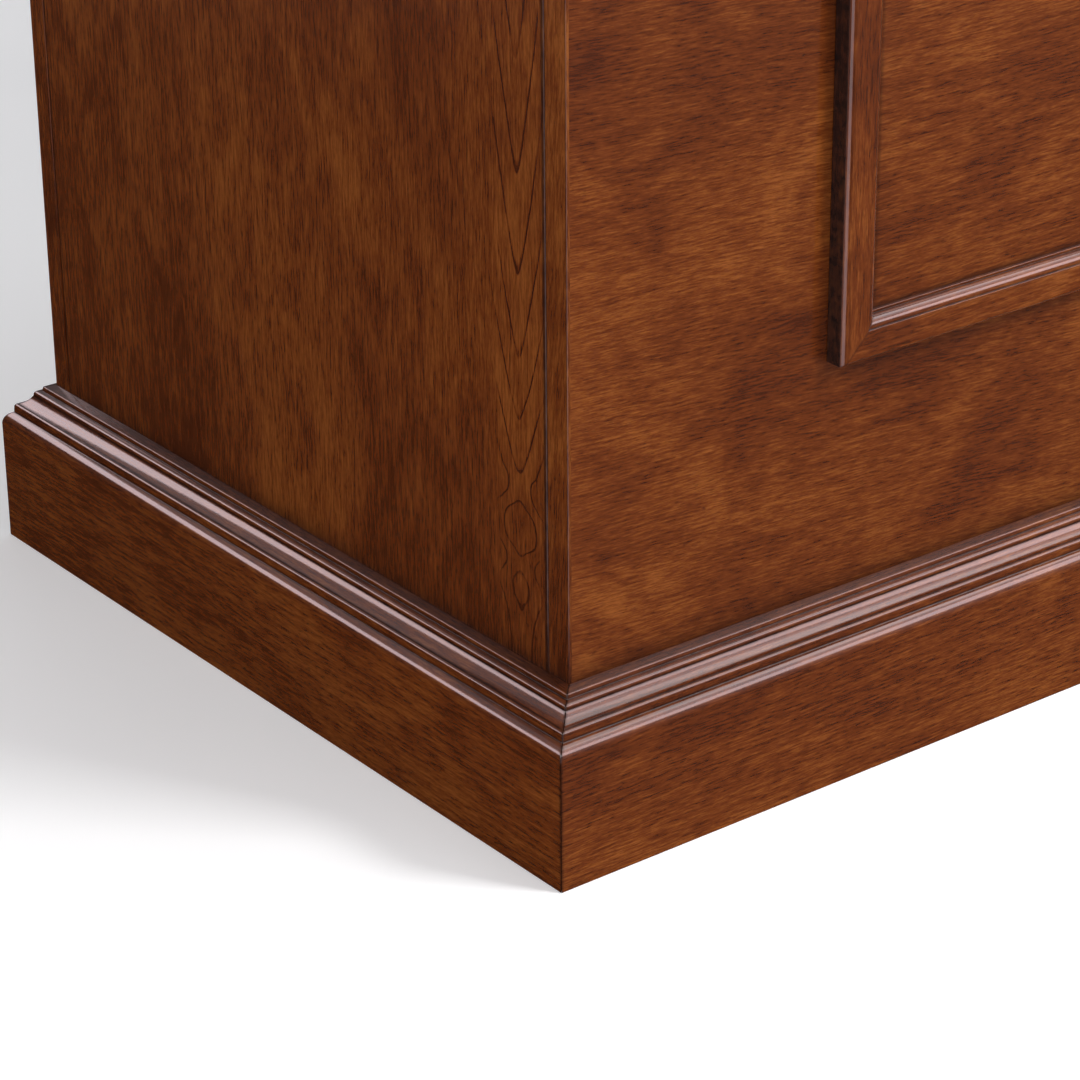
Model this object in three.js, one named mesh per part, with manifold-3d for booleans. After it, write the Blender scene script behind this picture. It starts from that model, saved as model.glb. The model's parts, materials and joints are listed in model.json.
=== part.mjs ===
// L-shaped corner desk: a main desk with a drawer pedestal at its free end, and a
// return that runs back from the other end and carries a second pedestal.
// Millimetres, +Z up, standing on z = 0, origin under the middle of its outer box.

import * as THREE from 'three';
import { mergeVertices } from 'three/addons/utils/BufferGeometryUtils.js';
import Module from 'manifold-3d';

const wasm = await Module();
wasm.setup();

// ---------------------------------------------------------------- sizes

const GAP = 0.3;                 // glue line or clearance between neighbours
const HEIGHT = 762;
const BODY_LENGTH = 1721;        // main desk, over its panels
const BODY_DEPTH = 654;
const RETURN_WIDTH = 502;        // return, over its panels
const RETURN_END = 1873;         // far face of the return, from the visitor face
const OVERHANG = 54;             // top beyond the panels
const TOP_THICK = 30;
const UNDER_TOP = HEIGHT - TOP_THICK;

const BOARD = 22;                // visitor, end and back panels
const FRAME = 19;                // face frames, gables and drawer fronts
const PANEL_FOOT = 4;            // panels stop short of the floor, behind the plinth
const ARRIS = 2;                 // chamfer either side of a V-groove

const PLINTH_OUT = 33;           // plinth beyond the panels
const BED_OUT = 30;              // moulding under the top, beyond the panels
const BED_HIGH = 40;

const PEDESTAL = 460;            // pedestal width
const STILE = 40;
const FRONT_LAP = 8;             // drawer front over the edge of its opening
const FRONT_LOW = 150;           // bottom of the lowest drawer front
const FRONT_SPACE = 12;          // face frame showing between two fronts
const BOX_PLAY = 4;              // drawer box to the side of its opening
const BOX_SIDE = 12;
const BOX_BOTTOM = 6;
const RUNNER_WIDE = 40;
const RUNNER_HIGH = 16;
const RUNNER_PLAY = 0.5;

const RAISED_START = 220;        // first applied panel, from the end of the desk
const RAISED_SPACE = 70;
const RAISED_LOW = 304.5;
const RAISED_HIGH = 600;
const RAISED_THICK = 17.5;

const PENCIL_WIDE = 680;
const PENCIL_LOW = 652;
const PENCIL_HIGH = 70;
const PENCIL_FACE = 649;         // its front, level with the back of the drawer fronts
const PENCIL_BOX_WIDE = 640;
const PENCIL_BOX_HIGH = 52;
const PENCIL_BOX_LONG = 460;

const PULL_HALF = 40;            // posts from the middle of a pull
const POST_LONG = 15;
const BAIL_ROD = 2.8;
const POST_HEAD = 5;             // radius of a post where the bail is pivoted
const PIN = 1.8;                 // radius of the bail's pivot pins
const PIN_PLAY = 0.3;
const PIN_DEEP = 3.6;            // pin into its post
const PIVOT_UP = 9;              // bail pivot above the middle of its drawer front

const X = new THREE.Vector3(1, 0, 0);
const Y = new THREE.Vector3(0, 1, 0);
const Z = new THREE.Vector3(0, 0, 1);
const BACK = new THREE.Vector3(0, -1, 0);

// ---------------------------------------------------------------- materials

const finish = (color, roughness, metalness = 0) =>
  new THREE.MeshStandardMaterial({ color, roughness, metalness });

const VENEER = finish(0x6b3a1e, 0.35);
const SOLID_CHERRY = finish(0x5c2f1a, 0.32);
const FRONT_CHERRY = finish(0x703c20, 0.34);
const DRAWER_BIRCH = finish(0xc9a878, 0.6);
const STEEL = finish(0xa8a8a6, 0.35, 0.9);
const BRASS = finish(0x8a6a34, 0.38, 1);

// ---------------------------------------------------------------- helpers

function asSolid(geometry) {
  const bare = geometry.clone();
  bare.deleteAttribute('normal');
  bare.deleteAttribute('uv');
  const welded = mergeVertices(bare, 1e-4);
  return new wasm.Manifold(new wasm.Mesh({
    numProp: 3,
    vertProperties: new Float32Array(welded.attributes.position.array),
    triVerts: new Uint32Array(welded.index.array),
  }));
}

function asGeometry(solid) {
  const mesh = solid.getMesh();
  const geometry = new THREE.BufferGeometry();
  geometry.setAttribute('position', new THREE.BufferAttribute(mesh.vertProperties, 3));
  geometry.setIndex(new THREE.BufferAttribute(mesh.triVerts, 1));
  geometry.computeVertexNormals();
  return geometry;
}

function piece(name, geometry, material, parent) {
  const mesh = new THREE.Mesh(geometry, material);
  mesh.name = name;
  parent.add(mesh);
  return mesh;
}

// A box between two corners.
function slab([x0, y0, z0], [x1, y1, z1]) {
  const geometry = new THREE.BoxGeometry(x1 - x0, y1 - y0, z1 - z0);
  return geometry.translate((x0 + x1) / 2, (y0 + y1) / 2, (z0 + z1) / 2);
}

function outline(points) {
  return new THREE.Shape(points.map(([u, v]) => new THREE.Vector2(u, v)));
}

// An outline drawn on the axes u and v, pushed along u x v.
function prism(shape, u, v, depth, curveSegments = 5) {
  const along = new THREE.Vector3().crossVectors(u, v);
  const geometry = new THREE.ExtrudeGeometry(shape, {
    depth, curveSegments, steps: 1, bevelEnabled: false });
  return geometry.applyMatrix4(new THREE.Matrix4().makeBasis(u, v, along));
}

const rad = THREE.MathUtils.degToRad;

// ---------------------------------------------------------------- mouldings

// Plinth section: depth in from the fascia, and height. A quarter round ends the
// fascia, then a step, a cove, a second nose, a second step and a top round.
function plinthSection() {
  const section = new THREE.Shape();
  section.moveTo(0, 0);
  section.lineTo(0, 97);
  section.absarc(10.5, 97, 10.5, rad(180), rad(112), true);
  section.lineTo(7.4, 107.2);
  section.absarc(10.2, 111.8, 2.6, rad(167), rad(88), true);
  section.absarc(9.3, 124.6, 10.2, rad(-84), rad(-14), false);
  section.absarc(22.2, 123.2, 2.9, rad(180), rad(90), true);
  section.lineTo(24.3, 126.5);
  section.lineTo(24.9, 129.3);
  section.absarc(PLINTH_OUT - GAP, 125.5, 8.4, rad(150), rad(90), true);
  section.lineTo(PLINTH_OUT - GAP, 0);
  return section;
}

// Section of the moulding under the top: depth in from its outermost edge, and
// height from its lower edge. A bead, a cove and an ovolo.
function bedSection() {
  const wall = BED_OUT - GAP;
  const section = new THREE.Shape();
  section.moveTo(wall, 0);
  section.lineTo(wall - 2, 0);
  section.absarc(wall - 2, 3, 3, rad(-90), rad(-270), true);
  section.lineTo(wall - 4, 7.5);
  section.absarc(5.5, 8, 20, rad(0), rad(90), false);
  section.lineTo(5.5, 30.5);
  section.absarc(5.5, 36, 5.5, rad(-90), rad(-180), true);
  section.lineTo(0, BED_HIGH - GAP);
  section.lineTo(wall, BED_HIGH - GAP);
  return section;
}

// A moulding along +X whose outermost line is y = 0. A mitred end is cut back by
// as much as the section goes in, so two such boards meet at 45 degrees.
function moulding(section, length, mitreStart, mitreEnd) {
  const geometry = prism(section, Y, Z, length, 5);
  const position = geometry.attributes.position;
  for (let i = 0; i < position.count; i++) {
    const inward = position.getY(i);
    const atStart = position.getX(i) < length / 2;
    let along = atStart ? GAP / 2 : length - GAP / 2;
    if (atStart && mitreStart) along += inward;
    if (!atStart && mitreEnd) along -= inward;
    position.setX(i, along);
  }
  return geometry;
}

// Places a moulding so that its outermost line starts at (x, y) and runs at turn.
function runMoulding(name, section, start, turn, length, mitres, low, parent) {
  const mesh = piece(name, moulding(section, length, ...mitres), SOLID_CHERRY, parent);
  mesh.position.set(start[0], start[1], low);
  mesh.rotation.z = rad(turn);
}

// ---------------------------------------------------------------- framed slabs

// Section of a slab with both long edges rounded over on its face side.
function roundedSection(span, thick, radius) {
  const section = new THREE.Shape();
  section.moveTo(0, 0);
  section.lineTo(span, 0);
  section.absarc(span - radius, thick - radius, radius, 0, rad(90), false);
  section.absarc(radius, thick - radius, radius, rad(90), rad(180), false);
  return section;
}

// Section of the sunk middle of a framed slab: a quirk, an ovolo, a step down to
// the flat field. It is the air above them, so it is cut away.
function sinkSection(span, thick, inset) {
  const quirk = 1.2;
  const ovolo = 6.8;
  const field = inset + ovolo + 3.2;
  const ovoloLow = thick - quirk - ovolo;
  const section = new THREE.Shape();
  section.moveTo(inset, thick + 1);
  section.lineTo(inset, thick - quirk);
  section.absarc(inset + 1, ovoloLow, ovolo, rad(90), 0, true);
  section.lineTo(field, ovoloLow);
  section.lineTo(field, ovoloLow - 1.5);
  section.lineTo(span - field, ovoloLow - 1.5);
  section.lineTo(span - field, ovoloLow);
  section.absarc(span - inset - 1, ovoloLow, ovolo, rad(180), rad(90), true);
  section.lineTo(span - inset, thick - quirk);
  section.lineTo(span - inset, thick + 1);
  return section;
}

// A slab standing in the XZ plane with its back on y = 0 and its face toward -Y.
// One section runs along the width and one along the height, so corners mitre.
function crossed(section, wide, high, ...rest) {
  const across = prism(section(high, ...rest), Z, BACK, wide, 4);
  const upright = prism(section(wide, ...rest), X, BACK, high, 4).translate(0, 0, high);
  return asSolid(across).intersect(asSolid(upright));
}

function framedSlab(wide, high, thick, radius, inset) {
  const body = crossed(roundedSection, wide, high, thick, radius);
  return asGeometry(body.subtract(crossed(sinkSection, wide, high, thick, inset)));
}

const FIELD_DEPTH = 9.5;         // face of a framed slab down to its field

// ---------------------------------------------------------------- tops

// Edge of a top, as half an outline: in from the edge, and up from the underside.
function topSection(span) {
  const section = new THREE.Shape();
  section.moveTo(9, 0);
  section.lineTo(span - 9, 0);
  section.absarc(span - 9, 6, 6, rad(-90), 0, false);
  section.lineTo(span - 3, 7);
  section.absarc(span - 7, 14, 7, rad(-60), rad(60), false);
  section.lineTo(span - 6, 20.5);
  section.absarc(span - 16, 20, 10, rad(5), rad(90), false);
  section.absarc(16, 20, 10, rad(90), rad(175), false);
  section.lineTo(6, 20.5);
  section.absarc(7, 14, 7, rad(120), rad(240), false);
  section.lineTo(3, 7);
  section.absarc(9, 6, 6, rad(180), rad(270), false);
  return section;
}

// A top with a moulded edge all round, from (0, 0, 0) to (wide, deep, TOP_THICK).
function mouldedTop(wide, deep) {
  const across = prism(topSection(deep), Y, Z, wide, 4);
  const along = prism(topSection(wide), X, Z, deep, 4).translate(0, deep, 0);
  return asSolid(across).intersect(asSolid(along));
}

function addTops(parent) {
  const wide = BODY_LENGTH + 2 * OVERHANG;
  const deep = BODY_DEPTH + 2 * OVERHANG;
  const main = piece('main_top', asGeometry(mouldedTop(wide, deep)), VENEER, parent);
  main.position.set(-OVERHANG, -OVERHANG, UNDER_TOP);

  // The return's top is cut square where it meets the main top.
  const near = BODY_DEPTH + OVERHANG + GAP;
  const far = RETURN_END + OVERHANG;
  const returnWide = RETURN_WIDTH + 2 * OVERHANG;
  const spare = 40;
  const whole = mouldedTop(returnWide, far - near + spare);
  const cut = asSolid(slab([-1, -1, -1], [returnWide + 1, spare, TOP_THICK + 1]));
  const side = piece('return_top', asGeometry(whole.subtract(cut)), VENEER, parent);
  side.position.set(BODY_LENGTH + OVERHANG - returnWide, near - spare, UNDER_TOP);
}

// ---------------------------------------------------------------- panels

// An upright board with the given plan outline.
function upright(plan) {
  const geometry = prism(outline(plan), X, Y, UNDER_TOP - GAP - PANEL_FOOT);
  return geometry.translate(0, 0, PANEL_FOOT);
}

function addPanels(parent) {
  const right = BODY_LENGTH;
  piece('visitor_panel', upright([
    [0, 0], [right, 0], [right, BOARD - ARRIS], [right - ARRIS, BOARD],
    [ARRIS, BOARD], [0, BOARD - ARRIS]]), VENEER, parent);

  const near = BOARD + GAP;
  const far = BODY_DEPTH - FRAME - GAP;
  piece('left_end_panel', upright([
    [0, near + ARRIS], [ARRIS, near], [BOARD, near],
    [BOARD, far], [ARRIS, far], [0, far - ARRIS]]), VENEER, parent);

  const joint = BODY_DEPTH - GAP;
  piece('right_end_panel', upright([
    [right - BOARD, near], [right - ARRIS, near], [right, near + ARRIS],
    [right, joint - ARRIS], [right - ARRIS, joint], [right - BOARD, joint]]), VENEER, parent);

  const start = BODY_DEPTH;
  piece('return_back_panel', upright([
    [right - BOARD, start], [right - ARRIS, start], [right, start + ARRIS],
    [right, RETURN_END], [right - BOARD + ARRIS, RETURN_END],
    [right - BOARD, RETURN_END - ARRIS]]), VENEER, parent);

  const inner = right - RETURN_WIDTH + FRAME + GAP;
  const outer = right - BOARD - GAP;
  piece('return_end_panel', upright([
    [inner, RETURN_END - BOARD], [outer, RETURN_END - BOARD], [outer, RETURN_END - ARRIS],
    [outer - ARRIS, RETURN_END], [inner + ARRIS, RETURN_END],
    [inner, RETURN_END - ARRIS]]), VENEER, parent);

  const gable = right - RETURN_WIDTH;
  piece('corner_gable', upright([
    [gable, near], [gable + FRAME, near],
    [gable + FRAME, joint], [gable, joint]]), VENEER, parent);

  const apronHigh = 60;
  piece('return_apron', slab(
    [gable, BODY_DEPTH, UNDER_TOP - GAP - apronHigh],
    [gable + FRAME, RETURN_END - PEDESTAL - GAP, UNDER_TOP - GAP]), SOLID_CHERRY, parent);
}

// Three applied panels on the visitor side.
function addRaisedPanels(parent) {
  const count = 3;
  const room = BODY_LENGTH - 2 * RAISED_START - (count - 1) * RAISED_SPACE;
  const wide = room / count;
  for (let i = 0; i < count; i++) {
    const geometry = framedSlab(wide, RAISED_HIGH - RAISED_LOW, RAISED_THICK, 5.5, 22);
    const mesh = piece(`visitor_raised_panel_${i + 1}`, geometry, FRONT_CHERRY, parent);
    mesh.position.set(RAISED_START + i * (wide + RAISED_SPACE), -GAP, RAISED_LOW);
  }
}

// ---------------------------------------------------------------- plinth and bed

function addPlinth(parent) {
  const section = plinthSection();
  const out = PLINTH_OUT;
  const right = BODY_LENGTH + out;
  const endLong = BODY_DEPTH + 2 * out;
  const frontLong = PEDESTAL + 2 * out;
  const inner = BODY_LENGTH - RETURN_WIDTH - out;
  const add = (name, start, turn, length, mitres) =>
    runMoulding(name, section, start, turn, length, mitres, 0, parent);

  add('visitor_plinth', [-out, -out], 0, BODY_LENGTH + 2 * out, [true, true]);
  add('left_end_plinth', [-out, BODY_DEPTH + out], -90, endLong, [true, true]);
  add('right_end_plinth', [right, -out], 90, BODY_DEPTH + out, [true, false]);
  add('left_front_plinth', [PEDESTAL + out, BODY_DEPTH + out], 180, frontLong, [true, true]);
  add('left_knee_plinth', [PEDESTAL + out, BOARD], 90,
    BODY_DEPTH + out - BOARD, [false, true]);
  add('return_back_plinth', [right, BODY_DEPTH], 90,
    RETURN_END + out - BODY_DEPTH, [false, true]);
  add('return_end_plinth', [right, RETURN_END + out], 180,
    RETURN_WIDTH + 2 * out, [true, true]);
  add('return_front_plinth', [inner, RETURN_END + out], -90, frontLong, [true, true]);
  add('return_knee_plinth', [inner, RETURN_END - PEDESTAL - out], 0,
    RETURN_WIDTH + out - BOARD, [true, false]);
}

function addBedMould(parent) {
  const section = bedSection();
  const out = BED_OUT;
  const low = UNDER_TOP - BED_HIGH;
  const right = BODY_LENGTH + out;
  const add = (name, start, turn, length, mitres) =>
    runMoulding(name, section, start, turn, length, mitres, low, parent);

  add('visitor_bed_mould', [-out, -out], 0, BODY_LENGTH + 2 * out, [true, true]);
  add('left_bed_mould', [-out, BODY_DEPTH], -90, BODY_DEPTH + out, [false, true]);
  add('right_bed_mould', [right, -out], 90, RETURN_END + 2 * out, [true, true]);
  add('return_bed_mould', [right, RETURN_END + out], 180, RETURN_WIDTH + out, [true, false]);
}

// ---------------------------------------------------------------- pulls

// A pin or its bore in a post at side -1 or 1, on the X axis: radius, how far it
// stands off the post's head, and how deep it goes into it.
function pivotPin(side, radius, off, deep) {
  const pin = new THREE.CylinderGeometry(radius, radius, off + deep, 16);
  const middle = PULL_HALF - POST_HEAD + (deep - off) / 2;
  return asSolid(pin.rotateZ(Math.PI / 2).translate(side * middle, 0, 0));
}

// Oval plate with two turned and bored posts, standing on y = 0 and facing +Y.
function pullPlate() {
  const plateThick = 2.2;
  const oval = new THREE.Shape();
  oval.absellipse(0, 0, 54, 16, 0, 2 * Math.PI, false);
  const plate = prism(oval, X, Z, plateThick, 14).translate(0, plateThick, 0);

  const reach = POST_LONG + 4.5;
  const profile = [[0, 0.5], [6.5, 0.5], [6.5, 3], [3.6, 5.5], [3.6, 8],
    [POST_HEAD, POST_LONG - 4], [POST_HEAD, POST_LONG + 3], [3.2, reach - 0.6], [0, reach]];
  const post = new THREE.LatheGeometry(profile.map(([r, y]) => new THREE.Vector2(r, y)), 12);
  let body = asSolid(plate);
  for (const side of [-1, 1]) {
    body = body.add(asSolid(post.clone().translate(side * PULL_HALF, 0, PIVOT_UP)));
    const bore = pivotPin(side, PIN + PIN_PLAY, 1, PIN_DEEP + PIN_PLAY);
    body = body.subtract(bore.translate(0, POST_LONG, PIVOT_UP));
  }
  return asGeometry(body);
}

// Swinging bail, hanging from its two pins, which are on the X axis.
function pullBail() {
  const end = PULL_HALF - POST_HEAD - 0.8;
  const half = [[end, 0], [end - 2, 0], [end - 4.5, -6], [end - 6, -14],
    [end - 12.5, -22], [end - 23.5, -26]];
  const mirrored = half.map(([x, z]) => [-x, z]);
  const route = [...half, [0, -27], ...mirrored.reverse()];
  const path = new THREE.CatmullRomCurve3(route.map(([x, z]) => new THREE.Vector3(x, 0, z)));
  const rod = new THREE.Shape();
  rod.absarc(0, 0, BAIL_ROD, 0, 2 * Math.PI, false);
  let body = asSolid(new THREE.ExtrudeGeometry(rod, {
    steps: 26, curveSegments: 4, bevelEnabled: false, extrudePath: path }));
  for (const side of [-1, 1]) body = body.add(pivotPin(side, PIN, 3, PIN_DEEP));
  return asGeometry(body);
}

function addPull(name, x, face, z, parent) {
  const plate = piece(`${name}_pull_plate`, pullPlate(), BRASS, parent);
  plate.position.set(x, face + GAP, z);
  const bail = piece(`${name}_pull_bail`, pullBail(), BRASS, parent);
  bail.position.set(x, face + GAP + POST_LONG, z + PIVOT_UP);
}

// ---------------------------------------------------------------- drawers

function openBox(low, high, side, bottom) {
  const inner = slab(
    [low[0] + side, low[1] + side, low[2] + bottom],
    [high[0] - side, high[1] - side, high[2] + 1]);
  return asGeometry(asSolid(slab(low, high)).subtract(asSolid(inner)));
}

// A pedestal front to back along Y: its face frame ends at y = depth, facing +Y.
// The knee side is the one next to the leg space, at x = 0 or at x = PEDESTAL.
function addPedestal(name, depth, kneeHigh, frontHeights, boxLong, parent) {
  const back = BOARD + GAP;
  const behindFrame = depth - FRAME - GAP;
  const kneeStart = kneeHigh ? PEDESTAL - FRAME : 0;
  piece(`${name}_knee_side`, slab(
    [kneeStart, back, PANEL_FOOT],
    [kneeStart + FRAME, behindFrame, UNDER_TOP - GAP]), VENEER, parent);

  const floorLow = kneeHigh ? BOARD + GAP : FRAME + GAP;
  const floorWide = PEDESTAL - BOARD - FRAME - 2 * GAP;
  piece(`${name}_bottom`, slab(
    [floorLow, back, 118], [floorLow + floorWide, behindFrame, 134]), VENEER, parent);

  const frameGeometry = slab([0, depth - FRAME, PANEL_FOOT], [PEDESTAL, depth, UNDER_TOP - GAP]);
  let frame = asSolid(frameGeometry);
  let low = FRONT_LOW;
  frontHeights.forEach((high, i) => {
    const drawer = `${name}_drawer_${frontHeights.length - i}`;
    const openLow = low + FRONT_LAP + 2;
    const openHigh = low + high - FRONT_LAP - 2;
    frame = frame.subtract(asSolid(slab(
      [STILE, depth - FRAME - 1, openLow], [PEDESTAL - STILE, depth + 1, openHigh])));

    const wide = PEDESTAL - 2 * STILE + 2 * FRONT_LAP;
    const front = piece(`${drawer}_front`, framedSlab(wide, high, FRAME, 5.5, 18),
      FRONT_CHERRY, parent);
    front.rotation.z = Math.PI;
    front.position.set(PEDESTAL - STILE + FRONT_LAP, depth + GAP, low);

    const runnerTop = openLow + 6;
    piece(`${drawer}_runner`, slab(
      [(PEDESTAL - RUNNER_WIDE) / 2, back, runnerTop - RUNNER_HIGH],
      [(PEDESTAL + RUNNER_WIDE) / 2, behindFrame, runnerTop]), STEEL, parent);
    const boxHigh = openHigh - 8;
    piece(`${drawer}_box`, openBox(
      [STILE + BOX_PLAY, depth - boxLong, runnerTop + RUNNER_PLAY],
      [PEDESTAL - STILE - BOX_PLAY, depth, boxHigh], BOX_SIDE, BOX_BOTTOM),
      DRAWER_BIRCH, parent);

    const field = depth + GAP + FRAME - FIELD_DEPTH;
    addPull(drawer, PEDESTAL / 2, field, low + high / 2, parent);
    low += high + FRONT_SPACE;
  });
  piece(`${name}_face_frame`, asGeometry(frame), SOLID_CHERRY, parent);
}

// A wide shallow drawer that hangs under the main top, between two angle rails.
function addPencilDrawer(parent) {
  const middle = (PEDESTAL + BODY_LENGTH - RETURN_WIDTH) / 2;
  const front = piece('pencil_drawer_front', asGeometry(
    crossed(roundedSection, PENCIL_WIDE, PENCIL_HIGH, FRAME, 5)), FRONT_CHERRY, parent);
  front.rotation.z = Math.PI;
  front.position.set(middle + PENCIL_WIDE / 2, PENCIL_FACE - FRAME, PENCIL_LOW);

  const boxLow = PENCIL_LOW + 8;
  const boxEnd = PENCIL_FACE - FRAME - GAP;
  const boxHalf = PENCIL_BOX_WIDE / 2;
  piece('pencil_drawer_box', openBox(
    [middle - boxHalf, boxEnd - PENCIL_BOX_LONG, boxLow],
    [middle + boxHalf, boxEnd, boxLow + PENCIL_BOX_HIGH], BOX_SIDE, BOX_BOTTOM),
    DRAWER_BIRCH, parent);

  const web = 10;
  const foot = 14;
  const footHigh = 6;
  for (const side of [-1, 1]) {
    const label = side < 0 ? 'left' : 'right';
    const wall = side * (boxHalf + 2);
    const rail = outline([
      [wall, boxLow - RUNNER_PLAY - footHigh], [wall + side * web, boxLow - RUNNER_PLAY - footHigh],
      [wall + side * web, UNDER_TOP - GAP], [wall, UNDER_TOP - GAP],
      [wall, boxLow - RUNNER_PLAY], [wall - side * foot, boxLow - RUNNER_PLAY],
      [wall - side * foot, boxLow - RUNNER_PLAY - footHigh]]);
    const geometry = prism(rail, X, Z, PENCIL_BOX_LONG + 20).translate(middle, boxEnd - GAP, 0);
    piece(`pencil_drawer_rail_${label}`, geometry, SOLID_CHERRY, parent);
  }
}

// ---------------------------------------------------------------- assembly

const desk = new THREE.Group();
desk.position.set(-BODY_LENGTH / 2, -RETURN_END / 2, 0);

addTops(desk);
addBedMould(desk);
addPanels(desk);
addRaisedPanels(desk);
addPlinth(desk);
addPencilDrawer(desk);
addPedestal('left', BODY_DEPTH, true, [302, 120, 120], 540, desk);

const returnPedestal = new THREE.Group();
returnPedestal.rotation.z = Math.PI / 2;
returnPedestal.position.set(BODY_LENGTH, RETURN_END - PEDESTAL, 0);
addPedestal('return', RETURN_WIDTH, false, [277, 277], 440, returnPedestal);
desk.add(returnPedestal);

const group = new THREE.Group();
group.add(desk);

export default group;
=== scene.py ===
"""Looks of the L-shaped cherry corner desk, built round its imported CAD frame."""

import json
import math

import bpy
from mathutils import Euler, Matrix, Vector


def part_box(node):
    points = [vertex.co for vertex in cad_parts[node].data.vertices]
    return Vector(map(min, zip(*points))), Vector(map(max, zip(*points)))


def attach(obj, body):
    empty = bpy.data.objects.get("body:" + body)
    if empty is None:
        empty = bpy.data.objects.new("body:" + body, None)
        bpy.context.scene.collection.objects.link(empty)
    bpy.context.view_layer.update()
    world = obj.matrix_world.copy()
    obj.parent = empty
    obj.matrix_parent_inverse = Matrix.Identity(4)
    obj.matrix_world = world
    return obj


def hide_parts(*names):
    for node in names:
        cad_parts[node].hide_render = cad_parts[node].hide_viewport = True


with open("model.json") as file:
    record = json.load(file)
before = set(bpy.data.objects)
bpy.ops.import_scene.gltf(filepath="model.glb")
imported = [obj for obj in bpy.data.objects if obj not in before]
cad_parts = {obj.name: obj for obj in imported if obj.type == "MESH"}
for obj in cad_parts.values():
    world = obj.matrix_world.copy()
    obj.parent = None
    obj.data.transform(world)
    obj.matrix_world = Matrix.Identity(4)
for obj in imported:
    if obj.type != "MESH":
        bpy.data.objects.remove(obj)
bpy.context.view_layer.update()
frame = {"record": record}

MM = 0.001
X = Vector((1, 0, 0))
Y = Vector((0, 1, 0))
Z = Vector((0, 0, 1))
BODY_OF = {
    node: body
    for body, nodes in frame["record"]["behaviour"]["bodies"].items()
    for node in nodes
}

# ---------------------------------------------------------------- outlines


def arc(cx, cy, radius, start, end, steps):
    """Points of an arc, in degrees, both ends included."""
    points = []
    for i in range(steps + 1):
        angle = math.radians(start + (end - start) * i / steps)
        points.append((cx + radius * math.cos(angle), cy + radius * math.sin(angle)))
    return points


def bend(start, pull, end, steps):
    """Points from start to end, leaving and arriving in line with pull."""
    start, pull, end = Vector(start), Vector(pull), Vector(end)
    result = []
    for i in range(steps + 1):
        t = i / steps
        result.append(tuple(start * (1 - t) ** 2 + pull * 2 * t * (1 - t) + end * t ** 2))
    return result


def counter_clockwise(points):
    """The same closed outline, reversed if it runs clockwise."""
    area = 0
    for (x0, y0), (x1, y1) in zip(points, points[1:] + points[:1]):
        area += x0 * y1 - x1 * y0
    return points if area > 0 else points[::-1]


def turn_at(points, i):
    """How far a closed outline turns at point i, in degrees: positive to the left."""
    a, b, c = points[i - 1], points[i], points[(i + 1) % len(points)]
    before = math.atan2(b[1] - a[1], b[0] - a[0])
    after = math.atan2(c[1] - b[1], c[0] - b[0])
    return math.degrees((after - before + math.pi) % (2 * math.pi) - math.pi)


def rounded_corner(points, i, radius, steps=3):
    """Points of a curve that cuts corner i of a closed outline."""
    here = Vector(points[i][:2])
    before = Vector(points[i - 1][:2]) - here
    after = Vector(points[(i + 1) % len(points)][:2]) - here
    reach = min(radius, before.length * 0.45, after.length * 0.45)
    start = here + before.normalized() * reach
    end = here + after.normalized() * reach
    return bend(start, here, end, steps)


SHARP_TURN = 25  # degrees: a corner that turns further is eased
POINT_STEP = 0.9  # mm between points near a hollow corner, where the glaze and painted shade fade
LONG_SPAN = 36  # mm: a straight stretch from here up keeps only its own points


def section(points, ease=0.45, spread=1.0):
    """A finished cross-section, from points in mm. Corners are eased, and each point
    has its glaze and painted shade, from 0 to 1, which collects within spread of the hollow
    corners."""
    points = counter_clockwise(points)
    outline, hollows = [], []
    for i, corner in enumerate(points):
        turn = turn_at(points, i)
        if abs(turn) < SHARP_TURN:
            outline.append(corner)
            continue
        outline += rounded_corner(points, i, ease)
        if turn < 0:
            hollows.append(Vector(corner))
    result = []
    for a, b in zip(outline, outline[1:] + outline[:1]):
        start, end = Vector(a), Vector(b)
        span = (end - start).length
        near = any(min((h - start).length, (h - end).length) < 4 * spread for h in hollows)
        count = max(1, math.ceil(span / POINT_STEP)) if near and span < LONG_SPAN else 1
        for k in range(count):
            point = start.lerp(end, k / count)
            away = min(((point - h).length for h in hollows), default=math.inf)
            # Glaze and painted shade, darkest at the hollow corners.
            glaze_and_shade = math.exp(-((away / spread) ** 2))
            result.append((point.x * MM, point.y * MM, glaze_and_shade))
    return result


def inset_outline(outline, distance):
    """The outline pulled inward by distance along its corners' bisectors."""
    result = []
    count = len(outline)
    for i, (u, v, glaze_and_shade) in enumerate(outline):
        here = Vector((u, v))
        before = (here - Vector(outline[i - 1][:2])).normalized()
        after = (Vector(outline[(i + 1) % count][:2]) - here).normalized()
        tangent = before + after
        if tangent.length > 1e-6:
            tangent.normalize()
            here += Vector((-tangent.y, tangent.x)) * distance
        result.append((here.x, here.y, glaze_and_shade))
    return result


def rectangle(wide, high, ease):
    """A section with eased corners, in metres and with no glaze or painted shade."""
    points = [(0, 0), (wide, 0), (wide, high), (0, high)]
    if not ease:
        return [(u, v, 0.0) for u, v in points]
    curves = [rounded_corner(points, i, ease) for i in range(4)]
    return [(u, v, 0.0) for curve in curves for u, v in curve]


# ---------------------------------------------------------------- mesh building

GRAIN_STEP = Vector((0.37, 0.61, 0.83)) * 3.1  # between the boards' stretches of grain
NO_SHIFT = Vector((0, 0, 0))  # for boards whose figure has a place of its own
BOARD_EASE = 0.8 * MM  # on the arrises of a plain board
MITRE_GLAZE = 0.75  # at the tip of a moulding's mitre
MITRE_FADE = ((0.7 * MM, 0.65), (1.9 * MM, 0.0))  # (distance, share of it) back from there


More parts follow.
